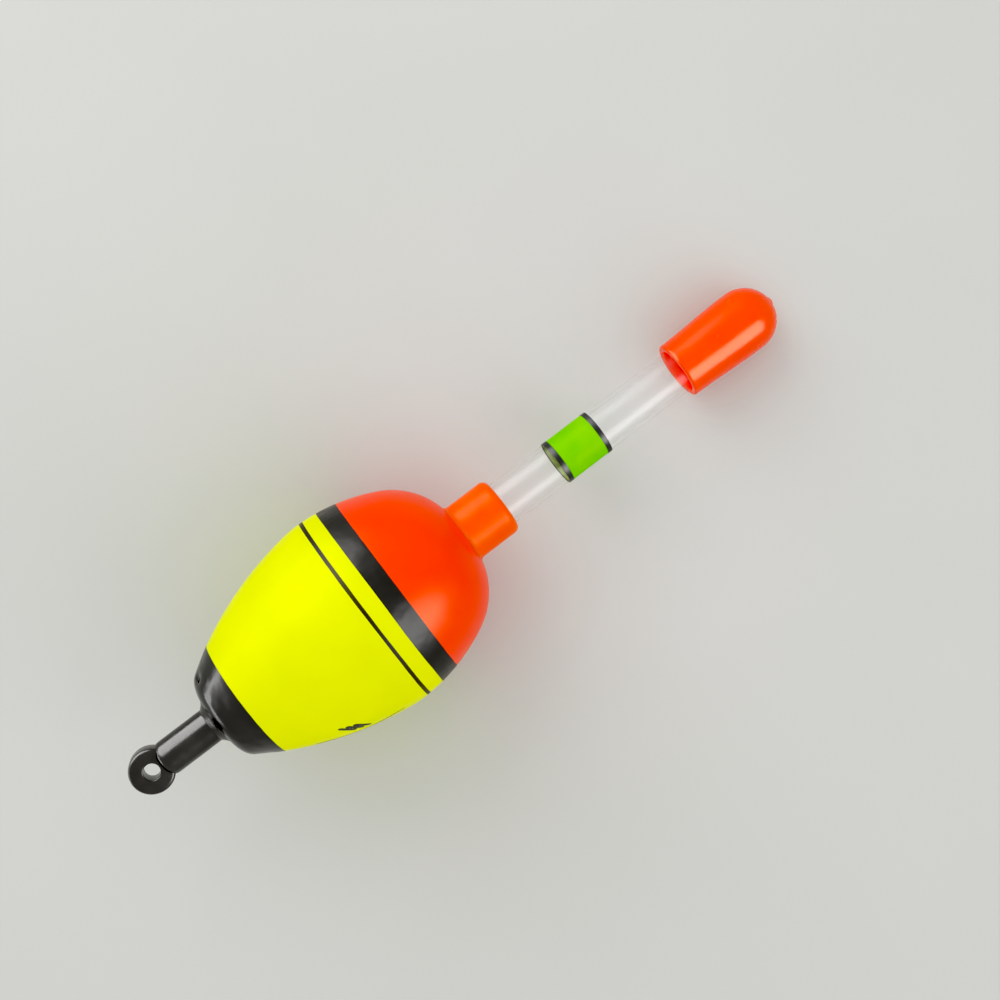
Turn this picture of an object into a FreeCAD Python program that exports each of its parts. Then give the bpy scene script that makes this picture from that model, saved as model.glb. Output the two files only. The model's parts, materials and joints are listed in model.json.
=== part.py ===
import FreeCAD, Part
import math
import os
import Sketcher

# A line float for night fishing, lying on its side. Each sub-part is drawn upright about the
# float's axis: x is the distance from that axis and the height counts from the centre of the
# line-eye hole at the tail. All lengths are millimetres.
# Placing lays the float down with its cap along +X, tilted until the belly and the cap touch one
# level surface. The origin stays at the centre of the line-eye hole.

DRIVING_SIZES = (
    # alias, value, meaning
    ("eye_radius", 3.0, "outside of the line eye"),
    ("eye_thickness", 2.8, "line eye, flat side to flat side"),
    ("eye_hole_radius", 1.1, "hole for the line"),
    ("eye_rim_round", 0.45, "rounding of the eye's outer rim"),
    ("eye_roll", 10.0, "degrees that the eye is rolled about the float's axis"),
    ("stem_start", 1.4, "end wall of the round stem, just past the hole"),
    ("stem_radius", 2.38, "stem between the eye and the body"),
    ("stem_end_round", 0.3, "rounding of the stem's end wall"),
    ("flange_start", 9.3, "where the stem widens to its flange"),
    ("flange_radius", 3.3, "flange against the body"),
    ("flange_rim", 0.25, "thickness of the flange's rim"),
    ("spigot_radius", 1.5, "spigot glued into the body and the weight"),
    ("spigot_end", 24.5, "inner end of the spigot"),
    ("body_start", 10.4, "flat tail end of the body"),
    ("body_end", 49.6, "flat top end of the body"),
    ("corner_arc", 2.8, "rounding of the tail end"),
    ("flank_arc", 46.69, "arc of the lower body"),
    ("flank_centre", 37.02, "height of that arc's centre"),
    ("crown_arc", 10.76, "arc just below the widest ring"),
    ("belly_radius", 13.8, "widest ring of the body"),
    ("belly_height", 32.93, "height of the widest ring"),
    ("shoulder_arc", 25.28, "arc above the widest ring"),
    ("dome_arc", 10.23, "arc of the shoulder below the collar"),
    ("dome_centre", 39.74, "height of that arc's centre"),
    ("coat", 0.4, "thickness of a colour coat"),
    ("ink", 0.15, "thickness of the thin line"),
    ("tail_coat_end", 15.0, "edge between black and yellow"),
    ("line_start", 33.65, "thin line, lower edge"),
    ("line_end", 34.15, "thin line, upper edge"),
    ("band_start", 36.25, "wide band, lower edge"),
    ("band_end", 38.9, "wide band, upper edge"),
    ("pocket_radius", 3.9, "pocket for the weight"),
    ("weight_start", 11.0, "lower end of the weight"),
    ("weight_end", 24.5, "upper end of the weight"),
    ("tube_radius", 3.0, "outside of the antenna tube"),
    ("tube_bore", 2.5, "inside radius of the tube, for a 4.5 mm light stick"),
    ("tube_start", 45.0, "lower end of the tube, inside the body"),
    ("tube_end", 96.9, "upper end of the tube, inside the cap"),
    ("stop_start", 41.0, "lower end of the plug under the light stick"),
    ("stop_end", 44.8, "upper end of that plug, a film of glue below the tube"),
    ("collar_radius", 4.0, "outside of the collar"),
    ("collar_end", 56.2, "top of the collar"),
    ("collar_flare", 0.7, "hollow rounding at the collar's foot"),
    ("collar_round", 0.7, "rounding of the collar's top edge"),
    ("film", 0.1, "thickness of the green sleeve"),
    ("film_start", 65.8, "green sleeve, lower edge"),
    ("film_end", 71.2, "green sleeve, upper edge"),
    ("film_ring_width", 0.8, "width of each black end ring"),
    ("film_ring", 0.12, "thickness of each black end ring"),
    ("cap_start", 85.2, "mouth of the cap"),
    ("cap_end", 101.1, "tip of the cap"),
    ("cap_bore", 3.05, "inside radius of the cap, running on the tube"),
    ("cap_bore_end", 96.4, "where the cap's inner dome starts"),
    ("cap_mouth_radius", 3.95, "outside of the cap at its mouth"),
    ("cap_radius", 4.3, "outside of the cap at its dome"),
    ("cap_dome", 96.5, "centre of the cap's dome"),
    ("cap_taper_end", 95.5, "where the cap's wall stops widening"),
    ("cap_lip", 0.35, "rounding of both edges of the mouth"),
    ("nib_radius", 0.9, "foot of the small round nib on the cap's tip"),
)

FULL_TURN = 360
CUTTER_RADIUS = 20.0


class Length:
    """A length with its value and the spreadsheet expression that it is bound to."""

    def __init__(self, value, text):
        self.value = value
        self.text = text

    def __add__(self, other):
        return Length(self.value + other.value, f"({self.text} + {other.text})")

    def __sub__(self, other):
        return Length(self.value - other.value, f"({self.text} - {other.text})")


NONE = Length(0.0, "0")


class Sizes:
    """The driving sizes, one attribute for each alias."""

    def __init__(self, rows):
        for alias, value, _ in rows:
            setattr(self, alias, Length(value, f"Sizes.{alias}"))


def write_sheet(doc):
    """Put the driving sizes into the spreadsheet and return them as lengths."""
    sheet = doc.addObject("Spreadsheet::Sheet", "Sizes")
    for row, (alias, value, meaning) in enumerate(DRIVING_SIZES, start=1):
        sheet.set(f"A{row}", alias)
        sheet.set(f"B{row}", str(value))
        sheet.set(f"C{row}", meaning)
        sheet.setAlias(f"B{row}", alias)
    doc.recompute()
    return Sizes(DRIVING_SIZES)


# ---- sketching ---------------------------------------------------------------------------

def origin_plane(body, role):
    for feature in body.Origin.OriginFeatures:
        if feature.Role == role:
            return feature
    raise ValueError(f"{body.Label} has no {role}")


def new_sketch(body, name, role):
    sketch = body.newObject("Sketcher::SketchObject", name)
    sketch.AttachmentSupport = [(origin_plane(body, role), "")]
    sketch.MapMode = "FlatFace"
    return sketch


def bind(sketch, kind, *where, length):
    """Add a dimension to a sketch and bind it to the spreadsheet."""
    index = sketch.addConstraint(Sketcher.Constraint(kind, *where, length.value))
    sketch.setExpression(f"Constraints[{index}]", length.text)


def number(size):
    """A size's value: lengths are dimensioned, plain numbers are left to the solver."""
    return size.value if isinstance(size, Length) else size


class Arc:
    """An edge of a section: turn is 1 when it runs anticlockwise about its centre."""

    def __init__(self, radius, turn=1, centre_height=None, centre_on_axis=False):
        self.radius = radius
        self.turn = turn
        self.centre_height = centre_height
        self.centre_on_axis = centre_on_axis

    def curve(self, start, end):
        middle = (start + end) * 0.5
        chord = end - start
        radius = number(self.radius)
        rise = math.sqrt(radius ** 2 - (chord.Length / 2) ** 2)
        left = FreeCAD.Vector(-chord.y, chord.x, 0).normalize()
        centre = middle + left * rise * self.turn
        first, last = (start, end) if self.turn > 0 else (end, start)
        begin = math.atan2(first.y - centre.y, first.x - centre.x)
        finish = math.atan2(last.y - centre.y, last.x - centre.x)
        if finish < begin:
            finish += 2 * math.pi
        circle = Part.Circle(centre, FreeCAD.Vector(0, 0, 1), radius)
        return Part.ArcOfCircle(circle, begin, finish)


def half_section(body, name, corners, arcs=None, smooth=()):
    """Draw a closed half section in the XZ plane.

    corners are (x, height) pairs. arcs maps the index of an edge, which starts at the corner of
    that index, to its Arc; other edges are straight. Edges meet tangentially at the corners in
    smooth.
    """
    arcs = arcs or {}
    sketch = new_sketch(body, name, "XZ_Plane")
    points = [FreeCAD.Vector(number(x), number(height), 0) for x, height in corners]
    count = len(corners)
    heads = []
    tails = []
    for index in range(count):
        start = points[index]
        end = points[(index + 1) % count]
        arc = arcs.get(index)
        curve = arc.curve(start, end) if arc else Part.LineSegment(start, end)
        edge = sketch.addGeometry(curve)
        forward = arc is None or arc.turn > 0
        heads.append((edge, 1 if forward else 2))
        tails.append((edge, 2 if forward else 1))
    for index, (x, height) in enumerate(corners):
        joint = "Tangent" if index in smooth else "Coincident"
        sketch.addConstraint(Sketcher.Constraint(joint, *tails[index - 1], *heads[index]))
        if x is NONE:
            sketch.addConstraint(Sketcher.Constraint("PointOnObject", *heads[index], -2))
        elif isinstance(x, Length):
            bind(sketch, "DistanceX", -1, 1, *heads[index], length=x)
        if isinstance(height, Length):
            bind(sketch, "DistanceY", -1, 1, *heads[index], length=height)
    for index, arc in arcs.items():
        edge = heads[index][0]
        if isinstance(arc.radius, Length):
            bind(sketch, "Radius", edge, length=arc.radius)
        if arc.centre_on_axis:
            sketch.addConstraint(Sketcher.Constraint("PointOnObject", edge, 3, -2))
        if arc.centre_height:
            bind(sketch, "DistanceY", -1, 1, edge, 3, length=arc.centre_height)
    return sketch


def turned(body, kind, sketch):
    """Turn a half section about the float's axis, as a Revolution or a Groove."""
    feature = body.newObject(f"PartDesign::{kind}", f"{sketch.Name}_{kind.lower()}")
    feature.Profile = sketch
    feature.ReferenceAxis = (sketch, ["V_Axis"])
    feature.Angle = FULL_TURN
    return feature


def bored(body, name, radius, start, end):
    """Cut a round bore on the float's axis, and make sure that it cuts."""
    body.Document.recompute()
    before = body.Shape.Volume
    corners = ((NONE, start), (radius, start), (radius, end), (NONE, end))
    turned(body, "Groove", half_section(body, name, corners))
    body.Document.recompute()
    if body.Shape.Volume > before - 1:
        raise ValueError(f"{name} cuts nothing out of {body.Label}")


def new_body(doc, label):
    return doc.addObject("PartDesign::Body", label)


# ---- primitives --------------------------------------------------------------------------

def cylinder(doc, name, radius, start, end):
    shape = doc.addObject("Part::Cylinder", name)
    shape.setExpression("Radius", radius.text)
    shape.setExpression("Height", (end - start).text)
    shape.setExpression("Placement.Base.z", start.text)
    return shape


def boolean(doc, kind, name, base, tool):
    result = doc.addObject(f"Part::{kind}", name)
    result.Base = base
    result.Tool = tool
    return result


def ring(doc, label, inner, outer, start, end):
    """A plain round sleeve about the float's axis."""
    outside = cylinder(doc, f"{label}_outside", outer, start, end)
    inside = cylinder(doc, f"{label}_inside", inner, start, end)
    return boolean(doc, "Cut", label, outside, inside)


# ---- the body and its colour coats -------------------------------------------------------

def egg_corners(sizes, inset):
    """Corners of the body's half section, moved inwards by inset.

    Five arcs meet tangentially, so an inset keeps their centres and shortens their radii.
    """
    rise = sizes.belly_height.value
    crown = FreeCAD.Vector(sizes.belly_radius.value - sizes.crown_arc.value, rise, 0)
    shoulder = FreeCAD.Vector(sizes.belly_radius.value - sizes.shoulder_arc.value, rise, 0)

    def centre(near, gap, height, side):
        across = math.sqrt(gap ** 2 - (height - near.y) ** 2)
        return FreeCAD.Vector(near.x + side * across, height, 0)

    flank_gap = sizes.flank_arc.value - sizes.crown_arc.value
    flank = centre(crown, flank_gap, sizes.flank_centre.value, -1)
    corner_gap = sizes.flank_arc.value - sizes.corner_arc.value
    corner_height = sizes.body_start.value + sizes.corner_arc.value
    corner = centre(flank, corner_gap, corner_height, 1)
    dome_gap = sizes.shoulder_arc.value - sizes.dome_arc.value
    dome = centre(shoulder, dome_gap, sizes.dome_centre.value, 1)

    def meeting(large, small, radius):
        return small + (small - large).normalize() * (radius.value - inset.value)

    low = meeting(flank, corner, sizes.corner_arc)
    middle = meeting(flank, crown, sizes.crown_arc)
    high = meeting(shoulder, dome, sizes.dome_arc)
    start = sizes.body_start + inset
    end = sizes.body_end - inset
    dome_radius = sizes.dome_arc.value - inset.value
    rim = dome.x + math.sqrt(dome_radius ** 2 - (end.value - dome.y) ** 2)
    return (
        (NONE, start),
        (corner.x, start),
        (low.x, low.y),
        (middle.x, middle.y),
        (sizes.belly_radius - inset, sizes.belly_height),
        (high.x, high.y),
        (rim, end),
        (NONE, end),
    )


def egg_body(doc, sizes, label, inset):
    """The body's outline as a solid of revolution, inset from the painted surface."""
    arcs = {
        1: Arc(sizes.corner_arc - inset),
        2: Arc(sizes.flank_arc - inset, centre_height=sizes.flank_centre),
        3: Arc(sizes.crown_arc - inset, centre_height=sizes.belly_height),
        4: Arc(sizes.shoulder_arc - inset),
        5: Arc(sizes.dome_arc - inset, centre_height=sizes.dome_centre),
    }
    body = new_body(doc, label)
    corners = egg_corners(sizes, inset)
    section = half_section(body, f"{label}_section", corners, arcs, smooth=(1, 2, 3, 4, 5))
    turned(body, "Revolution", section)
    return body


def make_foam_core(doc, sizes):
    body = egg_body(doc, sizes, "foam_core", sizes.coat)
    bored(body, "tube_socket", sizes.tube_radius, sizes.stop_start, sizes.body_end)
    bored(body, "weight_pocket", sizes.pocket_radius, sizes.body_start, sizes.weight_end)
    return body


def make_coats(doc, sizes):
    """The colour coats: zones of one skin round the foam, open at the tube and the spigot."""
    painted = egg_body(doc, sizes, "painted_outline", NONE)
    primed = egg_body(doc, sizes, "primed_outline", sizes.coat)
    inked = egg_body(doc, sizes, "inked_outline", sizes.ink)
    shell = boolean(doc, "Cut", "coat_shell", painted, primed)
    tube_hole = cylinder(doc, "tube_hole", sizes.tube_radius, sizes.stop_start, sizes.collar_end)
    collared = boolean(doc, "Cut", "coat_with_tube_hole", shell, tube_hole)
    tail_hole = cylinder(doc, "tail_hole", sizes.spigot_radius, sizes.eye_radius, sizes.spigot_end)
    skin = boolean(doc, "Cut", "coat_skin", collared, tail_hole)
    ink_skin = boolean(doc, "Cut", "ink_skin", painted, inked)

    def zone(label, base, start, end):
        radius = Length(CUTTER_RADIUS, str(CUTTER_RADIUS))
        slab = cylinder(doc, f"{label}_zone", radius, start, end)
        return boolean(doc, "Common", label, base, slab)

    yellow = zone("yellow_zone", skin, sizes.tail_coat_end, sizes.band_start)
    groove = zone("line_groove", ink_skin, sizes.line_start, sizes.line_end)
    return (
        zone("tail_coat", skin, sizes.eye_radius, sizes.tail_coat_end),
        boolean(doc, "Cut", "yellow_coat", yellow, groove),
        zone("thin_line", ink_skin, sizes.line_start, sizes.line_end),
        zone("wide_band", skin, sizes.band_start, sizes.band_end),
        zone("orange_coat", skin, sizes.band_end, sizes.collar_end),
    )


def make_ballast_weight(doc, sizes):
    """A ring-shaped weight pushed over the spigot, low in the tail."""
    return ring(doc, "ballast_weight", sizes.spigot_radius, sizes.pocket_radius,
                sizes.weight_start, sizes.weight_end)


# ---- tail plug ---------------------------------------------------------------------------

def disc_sketch(body, name, radius):
    """A circle about the eye's centre, in the plane of the eye."""
    sketch = new_sketch(body, name, "YZ_Plane")
    circle = Part.Circle(FreeCAD.Vector(0, 0, 0), FreeCAD.Vector(0, 0, 1), radius.value)
    edge = sketch.addGeometry(circle)
    sketch.addConstraint(Sketcher.Constraint("Coincident", edge, 3, -1, 1))
    bind(sketch, "Radius", edge, length=radius)
    return sketch


def make_eye(doc, sizes):
    """The flat round eye for the line, with a rounded rim."""
    body = new_body(doc, "eye")
    disc = body.newObject("PartDesign::Pad", "eye_pad")
    disc.Profile = disc_sketch(body, "eye_disc", sizes.eye_radius)
    disc.setExpression("Length", sizes.eye_thickness.text)
    disc.SideType = "Symmetric"
    doc.recompute()

    rims = []
    for index, edge in enumerate(disc.Shape.Edges, start=1):
        if isinstance(edge.Curve, Part.Circle):
            rims.append(f"Edge{index}")
    rounding = body.newObject("PartDesign::Fillet", "eye_rim")
    rounding.Base = (disc, rims)
    rounding.setExpression("Radius", sizes.eye_rim_round.text)
    doc.recompute()

    before = body.Shape.Volume
    hole = body.newObject("PartDesign::Pocket", "eye_hole")
    hole.Profile = disc_sketch(body, "eye_hole_disc", sizes.eye_hole_radius)
    hole.Type = "ThroughAll"
    hole.SideType = "Symmetric"
    doc.recompute()
    if body.Shape.Volume > before - 1:
        raise ValueError("the hole cuts nothing out of the line eye")
    return body


def make_stem(doc, sizes):
    """Round stem, conical flange and spigot."""
    body = new_body(doc, "stem")
    corners = (
        (NONE, sizes.stem_start),
        (sizes.stem_radius - sizes.stem_end_round, sizes.stem_start),
        (sizes.stem_radius, sizes.stem_start + sizes.stem_end_round),
        (sizes.stem_radius, sizes.flange_start),
        (sizes.flange_radius, sizes.body_start - sizes.flange_rim),
        (sizes.flange_radius, sizes.body_start),
        (sizes.spigot_radius, sizes.body_start),
        (sizes.spigot_radius, sizes.spigot_end),
        (NONE, sizes.spigot_end),
    )
    section = half_section(body, "stem_section", corners, {1: Arc(sizes.stem_end_round)})
    turned(body, "Revolution", section)
    return body


def make_tail_plug(doc, sizes):
    """Line eye and stem in one moulding."""
    return boolean(doc, "Fuse", "tail_plug", make_stem(doc, sizes), make_eye(doc, sizes))


# ---- antenna -----------------------------------------------------------------------------

def make_collar(doc, sizes):
    """A soft sleeve at the foot of the antenna, flared where it is glued to the body."""
    body = new_body(doc, "collar")
    flare_end = sizes.body_end + sizes.collar_flare
    round_start = sizes.collar_end - sizes.collar_round
    corners = (
        (sizes.tube_radius, sizes.body_end),
        (sizes.collar_radius + sizes.collar_flare, sizes.body_end),
        (sizes.collar_radius, flare_end),
        (sizes.collar_radius, round_start),
        (sizes.collar_radius - sizes.collar_round, sizes.collar_end),
        (sizes.tube_radius, sizes.collar_end),
    )
    arcs = {1: Arc(sizes.collar_flare, turn=-1), 3: Arc(sizes.collar_round)}
    turned(body, "Revolution", half_section(body, "collar_section", corners, arcs))
    return body


def make_antenna_tube(doc, sizes):
    return ring(doc, "antenna_tube", sizes.tube_bore, sizes.tube_radius,
                sizes.tube_start, sizes.tube_end)


def make_stick_stop(doc, sizes):
    """The plug at the bottom of the tube's socket, on which the light stick stands."""
    return cylinder(doc, "stick_stop", sizes.tube_radius, sizes.stop_start, sizes.stop_end)


def make_sleeve(doc, sizes):
    """A thin coloured film round the tube, with a black ring at each end."""
    film_radius = sizes.tube_radius + sizes.film
    ring_radius = sizes.tube_radius + sizes.film_ring
    low = sizes.film_start - sizes.film_ring_width
    high = sizes.film_end + sizes.film_ring_width
    return (
        ring(doc, "green_sleeve", sizes.tube_radius, film_radius, sizes.film_start, sizes.film_end),
        ring(doc, "sleeve_ring_lower", sizes.tube_radius, ring_radius, low, sizes.film_start),
        ring(doc, "sleeve_ring_upper", sizes.tube_radius, ring_radius, sizes.film_end, high),
    )


def make_tip_cap(doc, sizes):
    """A soft dipped cap with a domed end and a small nib, hollow for the tube's end."""
    body = new_body(doc, "tip_cap")
    lip_height = sizes.cap_start + sizes.cap_lip
    dome_rise = math.sqrt(sizes.cap_radius.value ** 2 - sizes.nib_radius.value ** 2)
    nib_foot = sizes.cap_dome.value + dome_rise
    nib_rise = sizes.cap_end.value - nib_foot
    nib_arc = (sizes.nib_radius.value ** 2 + nib_rise ** 2) / (2 * nib_rise)
    corners = (
        (sizes.cap_bore, lip_height),
        (sizes.cap_bore + sizes.cap_lip, sizes.cap_start),
        (sizes.cap_mouth_radius - sizes.cap_lip, sizes.cap_start),
        (sizes.cap_mouth_radius, lip_height),
        (sizes.cap_radius, sizes.cap_taper_end),
        (sizes.cap_radius, sizes.cap_dome),
        (sizes.nib_radius, nib_foot),
        (NONE, sizes.cap_end),
        (NONE, sizes.cap_bore_end + sizes.cap_bore),
        (sizes.cap_bore, sizes.cap_bore_end),
    )
    arcs = {
        0: Arc(sizes.cap_lip),
        2: Arc(sizes.cap_lip),
        5: Arc(sizes.cap_radius),
        6: Arc(nib_arc, centre_on_axis=True),
        8: Arc(sizes.cap_bore, turn=-1),
    }
    section = half_section(body, "cap_section", corners, arcs, smooth=(5,))
    turned(body, "Revolution", section)
    return body


# ---- placing, checking and writing -------------------------------------------------------

def resting_tilt(sizes):
    """Degrees that the axis drops towards the cap when belly and cap lie on a level surface.

    Below the axis the shoulder arc reaches down to a circle about its centre and the cap to a
    circle about its dome's centre; the tilt is the slope of the line that touches both.
    """
    along = sizes.cap_dome.value - sizes.belly_height.value
    across = sizes.shoulder_arc.value - sizes.belly_radius.value
    drop = sizes.shoulder_arc.value - sizes.cap_radius.value
    return math.degrees(math.asin(drop / math.hypot(along, across)) - math.atan2(across, along))


def lie_down(sub_parts, sizes):
    """Lay every sub-part on its side, cap along +X, with the line eye rolled about the axis."""
    upright = FreeCAD.Vector(0, 0, 1)
    sideways = FreeCAD.Vector(0, 1, 0)
    resting = FreeCAD.Rotation(sideways, 90 + resting_tilt(sizes))
    rolled = resting.multiply(FreeCAD.Rotation(upright, sizes.eye_roll.value))
    for part in sub_parts:
        rotation = rolled if part.Label == "tail_plug" else resting
        if part.TypeId == "Part::Cylinder":
            base = rotation.multVec(part.Placement.Base)
            part.setExpression("Placement.Base.z", None)
        else:
            base = FreeCAD.Vector(0, 0, 0)
        part.Placement = FreeCAD.Placement(base, rotation)


def check(doc, sub_parts):
    """Stop if any object failed to build or a sub-part isn't one sound shape."""
    for item in doc.Objects:
        if "Invalid" in item.State or "Error" in item.State:
            raise ValueError(f"{item.Label} failed: {item.State}")
    for part in sub_parts:
        if part.Shape.isNull() or not part.Shape.isValid():
            raise ValueError(f"{part.Label} has no sound shape")
        if len(part.Shape.Solids) != 1:
            raise ValueError(f"{part.Label} has {len(part.Shape.Solids)} solids")


def main():
    doc = FreeCAD.newDocument("bobber_float")
    sizes = write_sheet(doc)
    sub_parts = [
        make_foam_core(doc, sizes),
        *make_coats(doc, sizes),
        make_ballast_weight(doc, sizes),
        make_tail_plug(doc, sizes),
        make_collar(doc, sizes),
        make_antenna_tube(doc, sizes),
        make_stick_stop(doc, sizes),
        *make_sleeve(doc, sizes),
        make_tip_cap(doc, sizes),
    ]
    doc.recompute()
    lie_down(sub_parts, sizes)
    doc.recompute()
    check(doc, sub_parts)
    os.makedirs("parts", exist_ok=True)
    for part in sub_parts:
        part.Shape.exportStep(f"parts/{part.Label}.step")
        print(f"{part.Label:18s} {part.Shape.Volume:10.2f} mm3")
    print(f"resting tilt {resting_tilt(sizes):.4f} degrees")


main()
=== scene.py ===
import json
import math

import bmesh
import bpy
from mathutils import Matrix, Vector, noise


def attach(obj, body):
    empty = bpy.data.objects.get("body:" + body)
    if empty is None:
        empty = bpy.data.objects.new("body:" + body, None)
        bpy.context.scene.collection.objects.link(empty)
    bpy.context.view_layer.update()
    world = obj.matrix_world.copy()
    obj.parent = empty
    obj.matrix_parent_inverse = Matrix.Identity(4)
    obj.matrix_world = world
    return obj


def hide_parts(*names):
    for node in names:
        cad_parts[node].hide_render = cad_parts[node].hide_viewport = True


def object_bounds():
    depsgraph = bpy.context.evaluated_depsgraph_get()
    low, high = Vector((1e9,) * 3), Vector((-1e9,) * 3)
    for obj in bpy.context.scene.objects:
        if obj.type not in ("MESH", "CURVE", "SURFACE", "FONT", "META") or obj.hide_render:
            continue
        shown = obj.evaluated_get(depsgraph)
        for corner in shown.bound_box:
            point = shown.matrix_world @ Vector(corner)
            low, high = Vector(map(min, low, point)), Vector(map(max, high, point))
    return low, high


# Looks for the bobber float. All lengths in this script are metres; small ones are written as
# millimetres times MM. The float's own axis starts at the origin, in the middle of the line
# eye's hole, and runs to the tip of the cap. A point on a turned piece is given by its height
# along that axis, its radius and its angle round the axis: 0 faces up and a quarter turn
# faces -Y.

MM = 0.001
FULL_TURN = 2 * math.pi

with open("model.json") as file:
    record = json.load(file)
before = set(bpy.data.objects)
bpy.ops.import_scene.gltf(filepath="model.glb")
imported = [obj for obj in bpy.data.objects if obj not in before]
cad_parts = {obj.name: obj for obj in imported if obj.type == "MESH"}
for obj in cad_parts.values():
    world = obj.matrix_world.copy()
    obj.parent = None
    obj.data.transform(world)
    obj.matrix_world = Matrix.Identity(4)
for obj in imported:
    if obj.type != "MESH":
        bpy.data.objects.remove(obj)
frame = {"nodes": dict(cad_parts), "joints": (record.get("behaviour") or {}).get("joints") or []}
cad_low, cad_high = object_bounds()

AXIS = Vector(frame["joints"][0]["axis"]).normalized()
SIDE = Vector((0, -1, 0))
UP = AXIS.cross(SIDE).normalized()
if UP.z < 0:
    UP.negate()
TILT = math.asin(-AXIS.z)
FLOOR = cad_low.z


# ---- sizes read from the frame -----------------------------------------------------------

def turned_span(node):
    """(lowest height, highest height, least radius, largest radius) of a CAD node about AXIS."""
    heights = []
    radii = []
    for vertex in frame["nodes"][node].data.vertices:
        height = vertex.co.dot(AXIS)
        heights.append(height)
        radii.append((vertex.co - AXIS * height).length)
    return min(heights), max(heights), min(radii), max(radii)


TAIL_START, TAIL_END, _, _ = turned_span("tail_coat")
_, YELLOW_END, _, BELLY_RADIUS = turned_span("yellow_coat")
LINE_START, LINE_END, _, _ = turned_span("thin_line")
_, BAND_END, _, _ = turned_span("wide_band")
_, BODY_END, _, _ = turned_span("orange_coat")
_, COLLAR_END, TUBE_RADIUS, COLLAR_FOOT = turned_span("collar")
TUBE_START, TUBE_END, TUBE_BORE, _ = turned_span("antenna_tube")
_, _, _, FILM_RADIUS = turned_span("green_sleeve")
RING_LOW, _, _, RING_RADIUS = turned_span("sleeve_ring_lower")
_, RING_HIGH, _, _ = turned_span("sleeve_ring_upper")
CAP_START, CAP_END, _, CAP_RADIUS = turned_span("tip_cap")
PLUG_START, SPIGOT_END, _, FLANGE_RADIUS = turned_span("tail_plug")

# The body's outline: five arcs that meet tangentially, as in the CAD model. The corner arc's
# centre is CORNER_ARC above TAIL_START, and the crown and shoulder arcs' are at BELLY_HEIGHT.
CORNER_ARC = 2.8 * MM
FLANK_ARC = 46.69 * MM
FLANK_CENTRE = 37.02 * MM
CROWN_ARC = 10.76 * MM
BELLY_HEIGHT = 32.93 * MM
SHOULDER_ARC = 25.28 * MM
DOME_ARC = 10.23 * MM
DOME_CENTRE = 39.74 * MM

# Depths under the outline: a coat's back, the thin line's channel, and the faces of the yellow
# and orange coats, the thin line and the wide band.
COAT = 0.4 * MM
CHANNEL = 0.15 * MM
COLOUR_FACE = 0.02 * MM
LINE_FACE = 0.01 * MM
BAND_FACE = 0.004 * MM


class Outline:
    """The body's radius as a function of height."""

    def __init__(self):
        self.crown = (BELLY_HEIGHT, BELLY_RADIUS - CROWN_ARC)
        self.shoulder = (BELLY_HEIGHT, BELLY_RADIUS - SHOULDER_ARC)
        self.flank = self.centre(self.crown, FLANK_ARC - CROWN_ARC, FLANK_CENTRE, -1)
        corner_height = TAIL_START + CORNER_ARC
        self.corner = self.centre(self.flank, FLANK_ARC - CORNER_ARC, corner_height, 1)
        self.dome = self.centre(self.shoulder, SHOULDER_ARC - DOME_ARC, DOME_CENTRE, 1)
        self.low = self.meeting(self.flank, self.corner, CORNER_ARC)
        self.middle = self.meeting(self.flank, self.crown, CROWN_ARC)
        self.high = self.meeting(self.shoulder, self.dome, DOME_ARC)

    @staticmethod
    def centre(near, gap, height, side):
        """The centre at a height that is gap away from another centre, on one side of it."""
        return height, near[1] + side * math.sqrt(gap ** 2 - (height - near[0]) ** 2)

    @staticmethod
    def meeting(large, small, radius):
        """Height at which the arc about small meets the larger arc about large."""
        away = (small[0] - large[0], small[1] - large[1])
        return small[0] + away[0] / math.hypot(*away) * radius

    def radius(self, height, inset=0.0):
        """The radius at a height, on the outline or on the surface that lies inset under it."""
        if height < self.low:
            centre, arc = self.corner, CORNER_ARC
        elif height < self.middle:
            centre, arc = self.flank, FLANK_ARC
        elif height < BELLY_HEIGHT:
            centre, arc = self.crown, CROWN_ARC
        elif height < self.high:
            centre, arc = self.shoulder, SHOULDER_ARC
        else:
            centre, arc = self.dome, DOME_ARC
        inside = (arc - inset) ** 2 - (height - centre[0]) ** 2
        return centre[1] + math.sqrt(max(inside, 0.0))


OUTLINE = Outline()


# ---- mesh building -----------------------------------------------------------------------

def place(height, radius, angle):
    """The point at a height, radius and angle about the float's axis."""
    return AXIS * height + (UP * math.cos(angle) + SIDE * math.sin(angle)) * radius


def angles(steps):
    """Evenly spaced angles round the axis."""
    return [FULL_TURN * step / steps for step in range(steps)]


def turned_rows(section, steps):
    """Rows of points for a section of (height, radius); radius 0 gives a single point."""
    rows = []
    for height, radius in section:
        if radius == 0:
            rows.append([place(height, 0, 0)])
        else:
            rows.append([place(height, radius, angle) for angle in angles(steps)])
    return rows


def uneven_rows(profile, steps):
    """Rows of points for a profile of functions from the angle to (height, radius)."""
    return [[place(*point(angle), angle) for angle in angles(steps)] for point in profile]


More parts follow.
